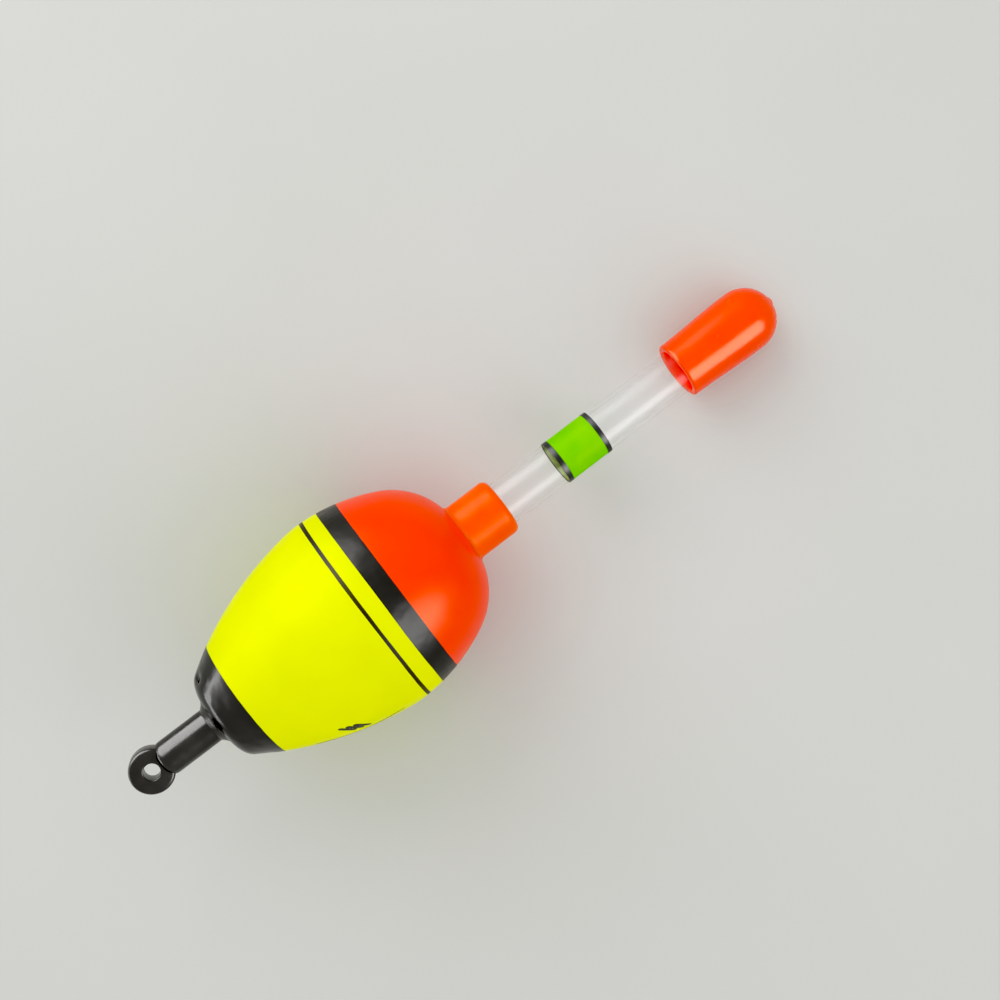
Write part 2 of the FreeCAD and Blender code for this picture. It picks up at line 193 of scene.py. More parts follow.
def closed_mesh(name, rows, second=(0, 0)):
    """Join each row of points to the next and the last to the first.

    Two single points side by side are left apart. Strips from second[0] up to second[1] use
    the piece's second material.
    """
    mesh = bmesh.new()
    grid = [[mesh.verts.new(point) for point in row] for row in rows]
    for index, low in enumerate(grid):
        high = grid[(index + 1) % len(grid)]
        steps = max(len(low), len(high))
        if steps == 1:
            continue
        for step in range(steps):
            after = (step + 1) % steps
            if len(low) == 1:
                corners = (low[0], high[after], high[step])
            elif len(high) == 1:
                corners = (low[step], low[after], high[0])
            else:
                corners = (low[step], low[after], high[after], high[step])
            face = mesh.faces.new(corners)
            face.smooth = True
            face.material_index = 1 if second[0] <= index < second[1] else 0
    bmesh.ops.recalc_face_normals(mesh, faces=mesh.faces)
    data = bpy.data.meshes.new(name)
    mesh.to_mesh(data)
    mesh.free()
    data.set_sharp_from_angle(angle=math.radians(40))
    return data


def add_piece(name, data, materials, node=None, body="float"):
    """Put a mesh in the scene, in place of a CAD node if one is named."""
    piece = bpy.data.objects.new(name, data)
    bpy.context.scene.collection.objects.link(piece)
    for material in materials:
        data.materials.append(material)
    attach(piece, body)
    if node:
        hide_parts(node)


def arc_points(centre, radius, start, end, count):
    """Points on an arc in a section; angles are degrees from the axis direction outwards."""
    points = []
    for step in range(count + 1):
        angle = math.radians(start + (end - start) * step / count)
        out = (radius * math.cos(angle), radius * math.sin(angle))
        points.append((centre[0] + out[0], centre[1] + out[1]))
    return points


def between(start, end, count):
    """Evenly spaced values from start up to but not including end."""
    return [start + (end - start) * step / count for step in range(count)]


def smooth_step(value, low, high):
    """0 below low, 1 above high, and an easy rise from one to the other."""
    share = min(max((value - low) / (high - low), 0.0), 1.0)
    return share * share * (3 - 2 * share)


# ---- materials ---------------------------------------------------------------------------

class Surface:
    """A procedural material built round one Principled shader."""

    def __init__(self, name):
        self.material = bpy.data.materials.new(name)
        self.material.use_nodes = True
        self.nodes = self.material.node_tree.nodes
        self.links = self.material.node_tree.links
        self.shader = self.nodes["Principled BSDF"]
        self.place = self.nodes.new("ShaderNodeTexCoord").outputs["Object"]

    def set(self, **values):
        """Set the shader's sockets; a name has _ for each space."""
        for key, value in values.items():
            self.shader.inputs[key.replace("_", " ")].default_value = value

    def noise(self, size, detail=2.0, stretch=None):
        """A noise field whose features are about size metres across."""
        texture = self.nodes.new("ShaderNodeTexNoise")
        texture.inputs["Scale"].default_value = 1 / size
        texture.inputs["Detail"].default_value = detail
        source = self.place
        if stretch:
            mapping = self.nodes.new("ShaderNodeMapping")
            mapping.inputs["Scale"].default_value = stretch
            mapping.inputs["Rotation"].default_value = (0, -TILT, 0)
            self.links.new(source, mapping.inputs["Vector"])
            source = mapping.outputs["Vector"]
        self.links.new(source, texture.inputs["Vector"])
        return texture.outputs["Fac"]

    def ramp(self, source, *stops):
        """Map a field to values or colours at positions."""
        node = self.nodes.new("ShaderNodeValToRGB")
        elements = node.color_ramp.elements
        while len(elements) < len(stops):
            elements.new(0.5)
        for element, (position, colour) in zip(elements, stops):
            element.position = position
            if isinstance(colour, (int, float)):
                colour = (colour, colour, colour)
            element.color = (*colour, 1.0)
        self.links.new(source, node.inputs["Fac"])
        return node.outputs["Color"]

    def bump(self, *layers):
        """Stack bump layers: each is (field, height in metres, strength)."""
        below = None
        for field, height, strength in layers:
            node = self.nodes.new("ShaderNodeBump")
            node.inputs["Distance"].default_value = height
            node.inputs["Strength"].default_value = strength
            self.links.new(field, node.inputs["Height"])
            if below:
                self.links.new(below, node.inputs["Normal"])
            below = node.outputs["Normal"]
        self.links.new(below, self.shader.inputs["Normal"])

    def colour(self, field):
        self.links.new(field, self.shader.inputs["Base Color"])

    def rough(self, field):
        self.links.new(field, self.shader.inputs["Roughness"])


def paint(name, dark, light, roughness, gloss=0.5, lumps=0.0, sheen=(1.0, 1.0, 1.0)):
    """Sprayed or dipped enamel: slow colour drift, orange peel and a few lumps."""
    surface = Surface(name)
    surface.set(Specular_IOR_Level=gloss)
    surface.shader.inputs["Specular Tint"].default_value = (*sheen, 1)
    surface.colour(surface.ramp(surface.noise(9 * MM, detail=3), (0.35, dark), (0.68, light)))
    surface.rough(surface.ramp(surface.noise(3 * MM), (0.3, roughness[0]), (0.7, roughness[1])))
    layers = [(surface.noise(0.9 * MM, detail=1), 0.02 * MM, 0.35)]
    if lumps:
        layers.insert(0, (surface.noise(3.2 * MM, detail=2), lumps, 0.9))
    surface.bump(*layers)
    return surface.material


def soft_plastic(name, dark, light, roughness, glow, gloss):
    """Soft PVC: light enters it, and its skin has a faint grain."""
    surface = Surface(name)
    surface.colour(surface.ramp(surface.noise(5 * MM), (0.3, dark), (0.7, light)))
    rough = surface.ramp(surface.noise(2 * MM), (0.3, roughness), (0.7, roughness + 0.08))
    surface.rough(rough)
    surface.set(Subsurface_Weight=glow, Subsurface_Scale=0.8 * MM, Specular_IOR_Level=gloss)
    surface.shader.inputs["Subsurface Radius"].default_value = (1.0, 0.35, 0.1)
    surface.shader.inputs["Specular Tint"].default_value = (*WARM_SHEEN, 1)
    surface.bump((surface.noise(0.6 * MM, detail=1), 0.01 * MM, 0.3))
    return surface.material


def inside_with_painted_glow(name, dark, light, painted_glow_colour, glow):
    """The inside of a coloured plastic wall, with a painted glow in its emission that stands in for
    daylight shining through the wall.
    """
    surface = Surface(name)
    surface.colour(surface.ramp(surface.noise(3 * MM), (0.3, dark), (0.7, light)))
    surface.rough(surface.ramp(surface.noise(1 * MM), (0.3, 0.45), (0.7, 0.6)))
    # painted glow: the emission makes the inside shine though no lamp lights it
    surface.set(Emission_Strength=glow, Specular_IOR_Level=0.02)
    surface.shader.inputs["Emission Color"].default_value = (*painted_glow_colour, 1)
    surface.bump((surface.noise(0.5 * MM, detail=1), 0.01 * MM, 0.3))
    return surface.material


def moulded_black(name, dark, light):
    """Hard black moulding with faint flow marks and grain."""
    surface = Surface(name)
    surface.colour(surface.ramp(surface.noise(4 * MM, detail=4), (0.3, dark), (0.7, light)))
    surface.rough(surface.ramp(surface.noise(1.5 * MM), (0.3, 0.17), (0.7, 0.28)))
    surface.bump(
        (surface.noise(2.5 * MM, detail=2), 0.03 * MM, 0.5),
        (surface.noise(0.25 * MM, detail=2), 0.008 * MM, 0.4),
    )
    return surface.material


def clear_plastic(name):
    """Thin clear plastic: it doesn't bend what is behind it, and its skin has a soft gloss."""
    surface = Surface(name)
    surface.set(IOR=1.0, Roughness=0.0, Transmission_Weight=1.0)
    surface.set(Coat_Weight=0.5, Coat_IOR=1.45, Coat_Roughness=0.3)
    streaks = surface.noise(1.2 * MM, detail=2, stretch=(0.12, 1, 1))
    dull, clean = (0.985, 0.988, 0.99), (0.995, 0.998, 1.0)
    surface.colour(surface.ramp(streaks, (0.3, dull), (0.75, clean)))
    return surface.material


def film(name, dark, light, gloss):
    """Smooth plastic with a faint grain, as of a film or a plug."""
    surface = Surface(name)
    surface.set(Specular_IOR_Level=gloss)
    surface.colour(surface.ramp(surface.noise(4 * MM, detail=2), (0.35, dark), (0.65, light)))
    surface.rough(surface.ramp(surface.noise(1.5 * MM), (0.3, 0.3), (0.7, 0.42)))
    surface.bump((surface.noise(0.5 * MM, detail=1), 0.006 * MM, 0.3))
    return surface.material


def foam(name):
    """Expanded foam beads."""
    bead_size = 1.4 * MM
    surface = Surface(name)
    cells = surface.nodes.new("ShaderNodeTexVoronoi")
    cells.inputs["Scale"].default_value = 1 / bead_size
    surface.links.new(surface.place, cells.inputs["Vector"])
    white, seam = (0.86, 0.86, 0.84), (0.62, 0.62, 0.6)
    surface.colour(surface.ramp(cells.outputs["Distance"], (0.35, white), (0.8, seam)))
    surface.rough(surface.ramp(surface.noise(1 * MM), (0.3, 0.8), (0.7, 0.95)))
    surface.bump((cells.outputs["Distance"], 0.1 * MM, 0.6))
    return surface.material


def brass(name):
    """Turned brass, dull in places."""
    surface = Surface(name)
    surface.set(Metallic=1.0)
    dull, bright = (0.5, 0.34, 0.13), (0.72, 0.53, 0.22)
    surface.colour(surface.ramp(surface.noise(2 * MM, detail=4), (0.3, dull), (0.7, bright)))
    surface.rough(surface.ramp(surface.noise(0.8 * MM), (0.3, 0.25), (0.7, 0.5)))
    surface.bump((surface.noise(0.4 * MM, stretch=(1, 6, 6)), 0.01 * MM, 0.5))
    return surface.material


WARM_SHEEN = (1.0, 0.95, 0.6)
BLACK_DARK = (0.011, 0.0105, 0.008)
BLACK_LIGHT = (0.023, 0.0215, 0.0185)
TAIL_PAINT = paint("tail_paint", BLACK_DARK, BLACK_LIGHT, (0.16, 0.26), 0.42, 0.035 * MM)
BAND_PAINT = paint("band_paint", BLACK_LIGHT, (0.03, 0.029, 0.026), (0.26, 0.38), 0.24, 0.13 * MM)
LINE_PAINT = paint("line_paint", (0.014, 0.011, 0.002), (0.075, 0.06, 0.006), (0.4, 0.5), 0.2)
YELLOW_PAINT = paint(
    "yellow_paint", (0.76, 0.83, 0.0), (0.81, 0.87, 0.0), (0.4, 0.5), 0.1, sheen=(1.0, 1.0, 0.3)
)
ORANGE_PAINT = paint(
    "orange_paint", (0.96, 0.045, 0.0), (0.98, 0.06, 0.0), (0.3, 0.38), 0.3, sheen=(1.0, 0.9, 0.5)
)
COLLAR_PLASTIC = soft_plastic(
    "collar_plastic", (0.97, 0.09, 0.0), (0.98, 0.13, 0.0), 0.28, 0.4, 0.13
)
CAP_PLASTIC = soft_plastic("cap_plastic", (0.97, 0.06, 0.0), (0.98, 0.075, 0.0), 0.2, 0.4, 0.36)
# Inside of the cap: a painted red glow stands in for daylight through the soft wall.
CAP_INSIDE = inside_with_painted_glow(
    "cap_inside", (0.85, 0.015, 0.0), (0.92, 0.03, 0.0), (1.0, 0.025, 0.0), 0.28
)
BLACK_PLASTIC = moulded_black("black_plastic", (0.018, 0.017, 0.014), (0.03, 0.028, 0.0245))
CLEAR_PLASTIC = clear_plastic("clear_plastic")
GREEN_FILM = film("green_film", (0.18, 0.61, 0.0), (0.25, 0.66, 0.0), 0.04)
# Back of the sleeve film: a faint painted glow stands in for light through the film.
FILM_BACK = inside_with_painted_glow(
    "film_back", (0.09, 0.15, 0.0), (0.6, 0.72, 0.24), (0.5, 0.7, 0.1), 0.03
)
BLACK_FILM = film("black_film", (0.008, 0.009, 0.009), (0.016, 0.017, 0.017), 0.5)
FOAM = foam("foam")
BRASS = brass("weight_brass")
STOP_PLASTIC = film("stop_plastic", (0.68, 0.7, 0.69), (0.78, 0.8, 0.79), 0.4)


# ---- the body's coats --------------------------------------------------------------------

COAT_STEPS = 240
UNEVEN = 0.08 * MM
SLOW_WAVES = 1.4
QUICK_WAVES = 6
QUICK_SHARE = 0.35


def wavy_edge(height, seed, reach):
    """A coat's edge as a function of the angle, a little uneven as painted by hand."""
    def edge(angle):
        x, y = math.cos(angle), math.sin(angle)
        slow = noise.noise(Vector((x * SLOW_WAVES, y * SLOW_WAVES, seed)))
        quick = noise.noise(Vector((x * QUICK_WAVES, y * QUICK_WAVES, seed + 7)))
        return height + reach * (slow + QUICK_SHARE * quick)
    return edge


TAIL_EDGE = wavy_edge(TAIL_END, 1.0, UNEVEN)
LINE_LOW_EDGE = wavy_edge(LINE_START, 2.0, UNEVEN * 0.6)
LINE_HIGH_EDGE = wavy_edge(LINE_END, 3.0, UNEVEN * 0.6)
BAND_LOW_EDGE = wavy_edge(YELLOW_END, 4.0, UNEVEN)
BAND_HIGH_EDGE = wavy_edge(BAND_END, 5.0, UNEVEN)


def on_outline(low, high, share, inset):
    """The point a share of the way from one edge to another, inset under the outline."""
    def point(angle):
        height = low(angle) + (high(angle) - low(angle)) * share
        return height, OUTLINE.radius(height, inset)
    return point


def stretch_rows(low, high, rows, inset):
    """Evenly spaced rows from one edge to another, inset under the outline."""
    return [on_outline(low, high, row / rows, inset) for row in range(rows + 1)]


def fixed(value):
    """A height or a point that is the same at every angle."""
    return lambda angle: value


def add_coat(node, profile, material):
    """A coat of paint from its closed profile, in place of its CAD node."""
    data = closed_mesh(node, uneven_rows(profile, COAT_STEPS))
    add_piece(f"{node}_skin", data, [material], node)


def add_thin_line():
    """Thin black line that fills the channel in the yellow."""
    face = stretch_rows(LINE_LOW_EDGE, LINE_HIGH_EDGE, 3, LINE_FACE)
    back = stretch_rows(LINE_LOW_EDGE, LINE_HIGH_EDGE, 3, CHANNEL)
    add_coat("thin_line", face + back[::-1], LINE_PAINT)


def add_wide_band():
    """Wide black band over the joint of the two colours."""
    face = stretch_rows(BAND_LOW_EDGE, BAND_HIGH_EDGE, 14, BAND_FACE)
    back = stretch_rows(BAND_LOW_EDGE, BAND_HIGH_EDGE, 14, COAT)
    add_coat("wide_band", face + back[::-1], BAND_PAINT)


def add_yellow_coat():
    """Yellow with a shallow channel for the thin line."""
    face = stretch_rows(TAIL_EDGE, LINE_LOW_EDGE, 70, COLOUR_FACE)
    face += stretch_rows(LINE_LOW_EDGE, LINE_HIGH_EDGE, 2, CHANNEL)
    face += stretch_rows(LINE_HIGH_EDGE, BAND_LOW_EDGE, 8, COLOUR_FACE)
    back = stretch_rows(TAIL_EDGE, BAND_LOW_EDGE, 70, COAT)
    add_coat("yellow_coat", face + back[::-1], YELLOW_PAINT)


def add_orange_coat():
    """Orange from the wide band over the shoulder to the collar."""
    end = BODY_END - COLOUR_FACE
    back_end = BODY_END - COAT
    profile = stretch_rows(BAND_HIGH_EDGE, fixed(end), 60, COLOUR_FACE)
    rim = OUTLINE.radius(end, COLOUR_FACE)
    profile += [fixed((end, radius)) for radius in between(TUBE_RADIUS, rim, 4)[::-1]]
    back_rim = OUTLINE.radius(back_end, COAT)
    profile += [fixed((back_end, radius)) for radius in between(TUBE_RADIUS, back_rim, 4)]
    profile += stretch_rows(BAND_HIGH_EDGE, fixed(back_end), 60, COAT)[::-1]
    add_coat("orange_coat", profile, ORANGE_PAINT)


SPIGOT_RADIUS = 1.5 * MM
STEM_RADIUS = 2.38 * MM
FLANGE_START = 9.3 * MM
FLANGE_RIM = 0.25 * MM
PIT_HEIGHT = 11.9 * MM
PIT_ANGLE = math.radians(-60)
PIT_SIZE = (0.5 * MM, 0.9 * MM)
PIT_DEPTH = 0.33 * MM
LUMP_DEPTH = 0.09 * MM
LUMP_SIZE = 2.4 * MM
GRAIN_SIZE = 0.9 * MM
FLANGE_FADE = (4.3 * MM, 5.2 * MM)
EDGE_FADE = (1.8 * MM, 0.3 * MM)
LEAST_PAINT = 0.05 * MM
FLANK_ROWS = 30


def dip_depth(height, radius, angle):
    """How far the dipped tail paint lies under the smooth outline.

    The lumps fade out towards the flange and towards the edge of the yellow.
    """
    lumps = noise.noise(place(height, radius, angle) / LUMP_SIZE)
    grain = noise.noise(place(height, radius, angle) / GRAIN_SIZE)
    rough = 0.5 + 0.5 * lumps + 0.16 * grain
    clear_of_flange = smooth_step(math.hypot(height - TAIL_START, radius), *FLANGE_FADE)
    clear_of_edge = 1 - smooth_step(height, TAIL_END - EDGE_FADE[0], TAIL_END - EDGE_FADE[1])
    along = (height - PIT_HEIGHT) / PIT_SIZE[0]
    around = radius * angle_between(angle, PIT_ANGLE) / PIT_SIZE[1]
    pit = PIT_DEPTH * math.exp(-along ** 2 - around ** 2)
    depth = LUMP_DEPTH * max(rough, 0.0) * clear_of_flange * clear_of_edge + pit
    return min(depth, COAT - LEAST_PAINT)


def angle_between(one, other):
    """The turn from one angle to the other, the short way round."""
    return (one - other + math.pi) % FULL_TURN - math.pi


def add_tail_coat():
    """Black dip over the tail: from the flange, round the corner and up the flank.

    The paint ends as a thin skin on the flange, which sinks into it, and fills the hollow
    beside it with a fillet. Each of lines is a point of the smooth section and its outward
    direction, (0, 0) where the paint is even.
    """
    corner_height, corner_radius = OUTLINE.corner
    sweep = math.degrees(math.acos((OUTLINE.low - corner_height) / CORNER_ARC))
    slope = math.atan2(FLANGE_RADIUS - STEM_RADIUS, TAIL_START - FLANGE_RIM - FLANGE_START)
    along = (math.cos(slope), math.sin(slope))
    hollow = 0.9 * MM
    run_up = 0.3 * MM
    skin = 0.06 * MM
    sunk = 0.08 * MM
    corner_run = hollow * math.tan(math.pi / 4 - slope / 2)
    meet = FLANGE_RADIUS + FLANGE_RIM * math.tan(slope) + skin
    onto = (TAIL_START - corner_run * along[0], meet - corner_run * along[1])
    begin = (onto[0] - run_up * along[0], onto[1] - run_up * along[1])
    fillet_centre = (TAIL_START - hollow, meet + corner_run)
    even = (0.0, 0.0)
    lines = [((begin[0], begin[1] - sunk), even), (begin, even)]
    for point in arc_points(fillet_centre, hollow, math.degrees(slope) - 90, 0, 8):
        lines.append((point, even))
    for angle in between(180, sweep, 22):
        out = (math.cos(math.radians(angle)), math.sin(math.radians(angle)))
        point = (corner_height + CORNER_ARC * out[0], corner_radius + CORNER_ARC * out[1])
        lines.append((point, out))
    corner_end = lines[-1][0][0]

    def dipped(point, out):
        def at(angle):
            depth = dip_depth(*point, angle)
            return point[0] - out[0] * depth, point[1] - out[1] * depth
        return at

    def flank(share):
        def at(angle):
            height = corner_end + (TAIL_EDGE(angle) - corner_end) * share
            return height, OUTLINE.radius(height, dip_depth(height, OUTLINE.radius(height), angle))
        return at

    under_rim = FLANGE_RADIUS - 0.3 * MM
    profile = [fixed((TAIL_START, SPIGOT_RADIUS)), fixed((TAIL_START, under_rim))]
    profile += [dipped(*line) for line in lines]
    profile += [flank(row / FLANK_ROWS) for row in range(1, FLANK_ROWS + 1)]
    profile += stretch_rows(fixed(corner_end), TAIL_EDGE, FLANK_ROWS, COAT)[::-1]
    back = arc_points(OUTLINE.corner, CORNER_ARC - COAT, sweep, 180, 8)[1:]
    profile += [fixed(point) for point in back]
    profile += [fixed((TAIL_START + COAT, SPIGOT_RADIUS))]
    add_coat("tail_coat", profile, TAIL_PAINT)


# ---- printed mark ------------------------------------------------------------------------

INK_PAINT = paint("print_ink", (0.012, 0.012, 0.006), (0.035, 0.035, 0.018), (0.35, 0.45), 0.3)
INK_FACE = 0.006 * MM
INK_THICKNESS = 0.03 * MM
INK_SECTION = ((-1, 0), (-0.33, 0), (0.33, 0), (1, 0), (1, 1), (-1, 1))
END_TAPER = 0.95
UNSTEADY = 0.18


def add_stroke(name, path, width):
    """An ink stroke on the body, narrower and rounded at its ends, with an unsteady edge.

    path is a list of (height, angle in degrees) corners. A point of INK_SECTION is a share of
    half the width and 0 on the ink's face or 1 on its back.
    """
    steps = 14
    centre = []
    for start, end in zip(path, path[1:]):
        for step in range(steps):
            share = step / steps
            centre.append((
                start[0] + (end[0] - start[0]) * share,
                math.radians(start[1] + (end[1] - start[1]) * share),
            ))
    centre.append((path[-1][0], math.radians(path[-1][1])))
    rows = []
    last = len(centre) - 1
    for index, (height, angle) in enumerate(centre):
        before = centre[max(index - 1, 0)]
        after = centre[min(index + 1, last)]
        radius = OUTLINE.radius(height)
        run = (after[0] - before[0], (after[1] - before[1]) * radius)
        length = math.hypot(*run)
        across = (-run[1] / length, run[0] / length)
        from_end = min(index, last - index) / last * 2
        half = width / 2 * math.sqrt(1 - (1 - min(from_end * 3, 1.0)) ** 2 * END_TAPER)
        half *= 1 + UNSTEADY * noise.noise(Vector((index * 0.35, width / MM, height / MM)))
        row = []
        for side, inset in INK_SECTION:
            spot = height + across[0] * half * side
            turn = angle + across[1] * half * side / radius
            depth = INK_FACE + INK_THICKNESS * inset
            row.append(place(spot, OUTLINE.radius(spot) - depth, turn))
        rows.append(row)
    ends = [[sum(row, Vector()) / len(row)] for row in (rows[0], rows[-1])]
    data = closed_mesh(name, [ends[0]] + rows + [ends[1]])
    add_piece(name, data, [INK_PAINT])


def add_print():
    """A plain mark of three short ripples over a bowed line."""
    ripple_width = 0.55 * MM
    line_width = 0.3 * MM
    for index, start in enumerate((22.3, 23.2, 24.1)):
        top = 59.5 + index * 1.2
        path = [(start * MM, top), ((start + 0.75) * MM, top + 5), ((start + 1.7) * MM, top + 12)]
        add_stroke(f"print_ripple_{index + 1}", path, ripple_width)
    bowed = ((18.6, 77.5), (20.4, 79), (22.4, 82), (24.2, 83), (25.8, 81.5), (28.0, 78), (30.4, 75))
    add_stroke("print_line", [(height * MM, angle) for height, angle in bowed], line_width)


# ---- tail plug ---------------------------------------------------------------------------

EYE_ROLL = math.radians(10)
EYE_HOLE = 1.1 * MM
EYE_THICKNESS = 2.8 * MM
STEM_START = 1.4 * MM
PLUG_STEPS = 96


def eye_mesh():
    """The flat ring at the end of the stem, with a rounded rim and hole."""
    eye_axis = UP * math.cos(EYE_ROLL) + SIDE * math.sin(EYE_ROLL)
    across = AXIS.cross(eye_axis).normalized()
    outer = -PLUG_START
    rim = 0.45 * MM
    lip = 0.15 * MM
    half = EYE_THICKNESS / 2
    upper = arc_points((half - rim, outer - rim), rim, 90, 0, 6)
    upper += arc_points((half - lip, EYE_HOLE + lip), lip, 0, -90, 4)
    section = upper + [(-offset, radius) for offset, radius in reversed(upper)]
    rows = []
    for offset, radius in section:
        row = []
        for angle in angles(PLUG_STEPS):
            out = AXIS * math.cos(angle) + across * math.sin(angle)
            row.append(eye_axis * offset + out * radius)
        rows.append(row)
    return closed_mesh("line_eye", rows)


def stem_mesh():
    """Stem that eases down to the eye, cone-shaped flange and spigot."""
    fall = 1.1 * MM
    run = 1.3 * MM
    blend = 0.35 * MM
    rim = 0.1 * MM
    first_ring = 0.5 * MM
    spacing = 0.4 * MM
    ease_steps = 10
    cone = (TAIL_START - FLANGE_RIM - FLANGE_START, FLANGE_RADIUS - STEM_RADIUS)
    slope = math.degrees(math.atan2(cone[1], cone[0]))
    reach = blend * math.tan(math.radians(slope / 2))
    section = [(STEM_START, 0.0)]
    section += [(STEM_START, radius) for radius in between(first_ring, STEM_RADIUS - fall, 4)]
    for step in range(ease_steps + 1):
        angle = math.radians(180 - 90 * step / ease_steps)
        height = STEM_START + run * (1 + math.cos(angle))
        section.append((height, STEM_RADIUS - fall + fall * math.sin(angle)))
    start = STEM_START + run + spacing
    section += [(height, STEM_RADIUS) for height in between(start, FLANGE_START - reach, 18)]
    section += arc_points((FLANGE_START - reach, STEM_RADIUS + blend), blend, -90, slope - 90, 5)
    rim_start = TAIL_START - FLANGE_RIM + rim
    section += arc_points((rim_start, FLANGE_RADIUS - rim), rim, 90 + slope, 90, 4)
    section += [(TAIL_START, FLANGE_RADIUS), (TAIL_START, SPIGOT_RADIUS)]
    section += [(SPIGOT_END, SPIGOT_RADIUS), (SPIGOT_END, 0.0)]
    return closed_mesh("stem", turned_rows(section, PLUG_STEPS))


def add_tail_plug():
    """Eye and stem joined into one moulding."""
    stem = bpy.data.objects.new("tail_plug_moulding", stem_mesh())
    eye = bpy.data.objects.new("line_eye", eye_mesh())
    for piece in (stem, eye):
        bpy.context.scene.collection.objects.link(piece)
    union = stem.modifiers.new("join", "BOOLEAN")
    union.operation = "UNION"
    union.solver = "EXACT"
    union.object = eye
    graph = bpy.context.evaluated_depsgraph_get()
    data = bpy.data.meshes.new_from_object(stem.evaluated_get(graph))
    bpy.data.objects.remove(stem)
    bpy.data.objects.remove(eye)
    data.set_sharp_from_angle(angle=math.radians(35))
    add_piece("tail_plug_moulding", data, [BLACK_PLASTIC], "tail_plug")


# ---- antenna -----------------------------------------------------------------------------

def add_collar():
    """Soft sleeve: a rounded top edge and a flared foot that hugs the shoulder."""
    radius = 4.0 * MM
    flare = COLLAR_FOOT - radius
    top = 0.9 * MM
    inner_drop = 0.1 * MM
    foot = BODY_END - 0.15 * MM
    thin_start = BODY_END - 0.05 * MM
    flared = arc_points((thin_start + flare, COLLAR_FOOT), flare, 192, 270, 8)
    section = [(foot, foot_radius) for foot_radius in between(TUBE_RADIUS, flared[0][1], 5)]
    section += flared
    start = BODY_END + flare
    section += [(height, radius) for height in between(start, COLLAR_END - top, 12)[1:]]
    section += arc_points((COLLAR_END - top, radius - top), top, 90, 0, 10)
    section += [(COLLAR_END - inner_drop, TUBE_RADIUS)]
    data = closed_mesh("collar", turned_rows(section, 128))
    add_piece("collar_sleeve", data, [COLLAR_PLASTIC], "collar")


def ring_section(low, high, inner, outer, edge, rows):
    """A sleeve's section, inner wall first, with rounded edges on its outside."""
    section = [(height, inner) for height in between(high, low, rows)]
    section += [(low, inner)]
    section += arc_points((low + edge, outer - edge), edge, 180, 90, 4)
    section += [(height, outer) for height in between(low + edge, high - edge, rows)[1:]]
    section += arc_points((high - edge, outer - edge), edge, 90, 0, 4)
    return section


def add_tube():
    """Clear tube, open at both ends."""
    edge = 0.08 * MM
    section = ring_section(TUBE_START, TUBE_END, TUBE_BORE, TUBE_RADIUS, edge, 60)
    data = closed_mesh("antenna_tube", turned_rows(section, 320))
    add_piece("antenna_tube_clear", data, [CLEAR_PLASTIC], "antenna_tube")


def add_film(node, low, high, outer, rows, bare, material, slot):
    """A film sleeve printed on its outside; bare gives the rows that show the film's back."""
    gap = 0.004 * MM
    edge = 0.02 * MM
    section = ring_section(low, high, TUBE_RADIUS + gap, outer, edge, rows)
    data = closed_mesh(node, turned_rows(section, 160), bare)
    add_piece(f"{node}_film", data, [material, FILM_BACK], node)


def add_sleeve():
    """Green film between two black rings."""
    green = (GREEN_FILM, "green_film")
    black = (BLACK_FILM, "black_film")
    ring_width = 0.68 * MM
    low = RING_LOW + ring_width
    high = RING_HIGH - ring_width
    add_film("green_sleeve", low, high, FILM_RADIUS, 12, (0, 12), *green)
    add_film("sleeve_ring_lower", RING_LOW, low, RING_RADIUS, 5, (0, 4), *black)
    add_film("sleeve_ring_upper", high, RING_HIGH, RING_RADIUS, 5, (1, 5), *black)


def add_cap():
    """Soft cap: rolled lip, slight taper, round end with a nib, and a hollow for the tube."""
    bore = 3.05 * MM
    mouth = 3.95 * MM
    lip = 0.35 * MM
    taper_end = 95.5 * MM
    dome = 96.5 * MM
    bore_end = 96.4 * MM
    nib = 0.9 * MM
    start = CAP_START + lip
    outside = arc_points((start, bore + lip), lip, 270, 180, 6)
    outside += arc_points((start, mouth - lip), lip, 180, 90, 6)
    for share in between(0, 1, 24)[1:]:
        ease = smooth_step(share, 0, 1)
        outside.append((start + (taper_end - start) * share, mouth + (CAP_RADIUS - mouth) * ease))
    outside += [(height, CAP_RADIUS) for height in between(taper_end, dome, 3)]
    foot = math.degrees(math.asin(nib / CAP_RADIUS))
    outside += arc_points((dome, 0.0), CAP_RADIUS, 90, foot, 24)
    rise = CAP_END - dome - CAP_RADIUS * math.cos(math.radians(foot))
    arc = (nib ** 2 + rise ** 2) / (2 * rise)
    spread = math.degrees(math.asin(nib / arc))
    outside += arc_points((CAP_END - arc, 0.0), arc, spread, 0, 6)[1:-1]
    outside += [(CAP_END, 0.0)]
    inside = [(bore_end + bore, 0.0)]
    inside += arc_points((bore_end, 0.0), bore, 0, 90, 16)[1:]
    inside += [(height, bore) for height in between(bore_end, start, 20)[1:]]
    rows = turned_rows(outside + inside, 144)
    data = closed_mesh("tip_cap", rows, (len(outside), len(rows)))
    add_piece("tip_cap_soft", data, [CAP_PLASTIC, CAP_INSIDE], "tip_cap", "cap")


# ---- inner pieces keep their CAD shape ---------------------------------------------------

def repaint(node, material):
    """Give a CAD node that stays as it is a material."""
    data = frame["nodes"][node].data
    data.materials.clear()
    data.materials.append(material)


# ---- floor, lights and camera ------------------------------------------------------------

FLOOR_REACH = 3.0
CAP_CONTACT = 95.4 * MM
SLOPE = 0.19
SLOPE_ROUND = 8 * MM
SLOPE_RUN = 75 * MM
SLOPE_END = 140 * MM


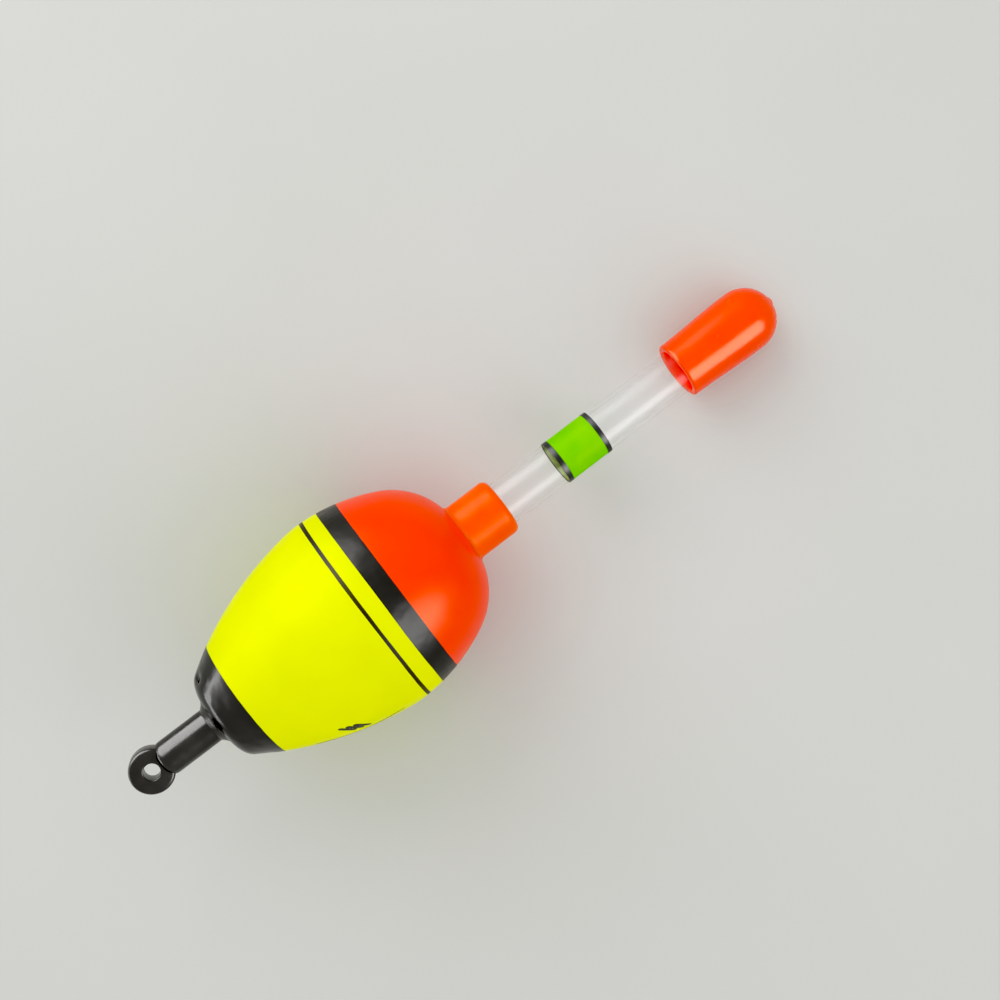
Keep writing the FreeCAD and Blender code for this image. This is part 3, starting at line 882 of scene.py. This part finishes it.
def floor_drop(along):
    """How far the floor has sunk at a distance past the cap's point of contact.

    It rounds into the slope over SLOPE_ROUND, and back to level over four times that.
    """
    entry = min(max(along, 0.0), SLOPE_ROUND)
    middle = min(max(along - SLOPE_ROUND, 0.0), SLOPE_RUN)
    leave = min(max(along - SLOPE_ROUND - SLOPE_RUN, 0.0), 4 * SLOPE_ROUND)
    drop = SLOPE * (entry ** 2 / (2 * SLOPE_ROUND) + middle)
    return drop + SLOPE * (leave - leave ** 2 / (8 * SLOPE_ROUND))


def add_floor():
    """A plain pale sheet under the float.

    It falls away past the cap, a little more steeply than the float's axis, so that the cap can
    be pulled off along that axis.
    """
    lines = [-FLOOR_REACH]
    lines += between(CAP_CONTACT, CAP_CONTACT + SLOPE_END, 70)
    lines += [FLOOR_REACH]
    corners = []
    for along in lines:
        height = FLOOR - floor_drop(along - CAP_CONTACT)
        corners += [(along, -FLOOR_REACH, height), (along, FLOOR_REACH, height)]
    faces = [(2 * i, 2 * i + 2, 2 * i + 3, 2 * i + 1) for i in range(len(lines) - 1)]
    mesh = bpy.data.meshes.new("floor")
    mesh.from_pydata(corners, [], faces)
    mesh.polygons.foreach_set("use_smooth", [True] * len(faces))
    floor = bpy.data.objects.new("floor", mesh)
    bpy.context.scene.collection.objects.link(floor)
    surface = Surface("floor_paper")
    tone = surface.noise(60 * MM, detail=3)
    surface.colour(surface.ramp(tone, (0.3, (0.622, 0.627, 0.6)), (0.7, (0.648, 0.651, 0.626))))
    surface.rough(surface.ramp(surface.noise(20 * MM), (0.3, 0.8), (0.7, 0.9)))
    surface.set(Specular_IOR_Level=0.0)
    floor.data.materials.append(surface.material)


def add_soft_box(name, offset, direction, distance, width, length, radiance, sheen):
    """An oval soft box that faces the float's axis at offset, from direction.

    Its length lies along the axis, or upwards if it faces the float's end. A sheen is seen in
    gloss only; a wash lights matt surfaces only, so that the shadows stay as soft as under a
    diffuser.
    """
    back = direction.normalized()
    faces_end = abs(AXIS.dot(back)) > 0.7
    lengthwise = UP if faces_end else AXIS
    tall = (lengthwise - back * lengthwise.dot(back)).normalized()
    turn = Matrix((tall.cross(back), tall, back)).transposed().to_4x4()
    data = bpy.data.lights.new(name, "AREA")
    data.shape = "ELLIPSE"
    data.size = width
    data.size_y = length
    data.energy = radiance * math.pi * (math.pi / 4 * width * length)
    light = bpy.data.objects.new(name, data)
    light.matrix_world = Matrix.Translation(AXIS * offset + back * distance) @ turn
    light.visible_camera = False
    light.visible_diffuse = not sheen
    light.visible_glossy = sheen
    light.visible_transmission = not sheen
    bpy.context.scene.collection.objects.link(light)


def around(degrees):
    """The direction at an angle about the float's axis."""
    return UP * math.cos(math.radians(degrees)) + SIDE * math.sin(math.radians(degrees))


def add_lights():
    """An even pale world with three soft boxes for gloss and two for matt surfaces."""
    world = bpy.data.worlds.new("studio")
    world.use_nodes = True
    background = world.node_tree.nodes["Background"]
    background.inputs["Color"].default_value = (1.0, 1.0, 1.0, 1)
    background.inputs["Strength"].default_value = 0.83
    bpy.context.scene.world = world
    behind_tail = -UP * 0.02 - AXIS * 0.92 - SIDE * 0.36
    # name, offset, direction, distance, width, length, radiance, sheen
    soft_boxes = (
        ("right_sheen", 0.24, around(51), 0.55, 0.42, 0.48, 9.0, True),
        ("left_sheen", -0.09, around(-61), 0.3, 0.37, 0.43, 8.5, True),
        ("tail_sheen", 0.011, behind_tail, 0.35, 0.4, 0.09, 6.5, True),
        ("right_wash", 0.25, around(52), 0.6, 0.6, 0.5, 1.0, False),
        ("left_wash", 0.02, around(-58), 0.36, 0.32, 0.36, 1.5, False),
    )
    for soft_box in soft_boxes:
        add_soft_box(*soft_box)


def add_camera():
    """Nearly straight above the float, which points to the upper right of the picture."""
    distance = 207.3 * MM
    middle = 56.3 * MM
    inclination = math.radians(4.5)
    heading = math.radians(37.18)
    sideways = -0.59 * MM
    lean = TILT - inclination
    back = Vector((math.sin(lean), 0, math.cos(lean)))
    shown_axis = (AXIS + back * math.sin(inclination)).normalized()
    right = shown_axis * math.cos(heading) + SIDE * math.sin(heading)
    up = shown_axis * math.sin(heading) - SIDE * math.cos(heading)
    data = bpy.data.cameras.new("camera")
    data.lens = 57.24
    data.sensor_width = 36.0
    data.clip_start = 0.01
    data.clip_end = 20.0
    camera = bpy.data.objects.new("camera", data)
    bpy.context.scene.collection.objects.link(camera)
    spot = AXIS * middle + SIDE * sideways + back * distance
    turn = Matrix((right, up, back)).transposed().to_4x4()
    camera.matrix_world = Matrix.Translation(spot) @ turn
    bpy.context.scene.camera = camera


def set_tone():
    """Plain display colours with the slight contrast of a phone camera."""
    black = 0.035
    view = bpy.context.scene.view_settings
    view.view_transform = "Standard"
    view.use_curve_mapping = True
    view.curve_mapping.black_level = (black, black, black)
    view.curve_mapping.update()


add_camera()
add_floor()
add_lights()
set_tone()

add_tail_coat()
add_yellow_coat()
add_thin_line()
add_wide_band()
add_orange_coat()
add_print()
add_tail_plug()
add_collar()
add_tube()
add_sleeve()
add_cap()
repaint("foam_core", FOAM)
repaint("ballast_weight", BRASS)
repaint("stick_stop", STOP_PLASTIC)
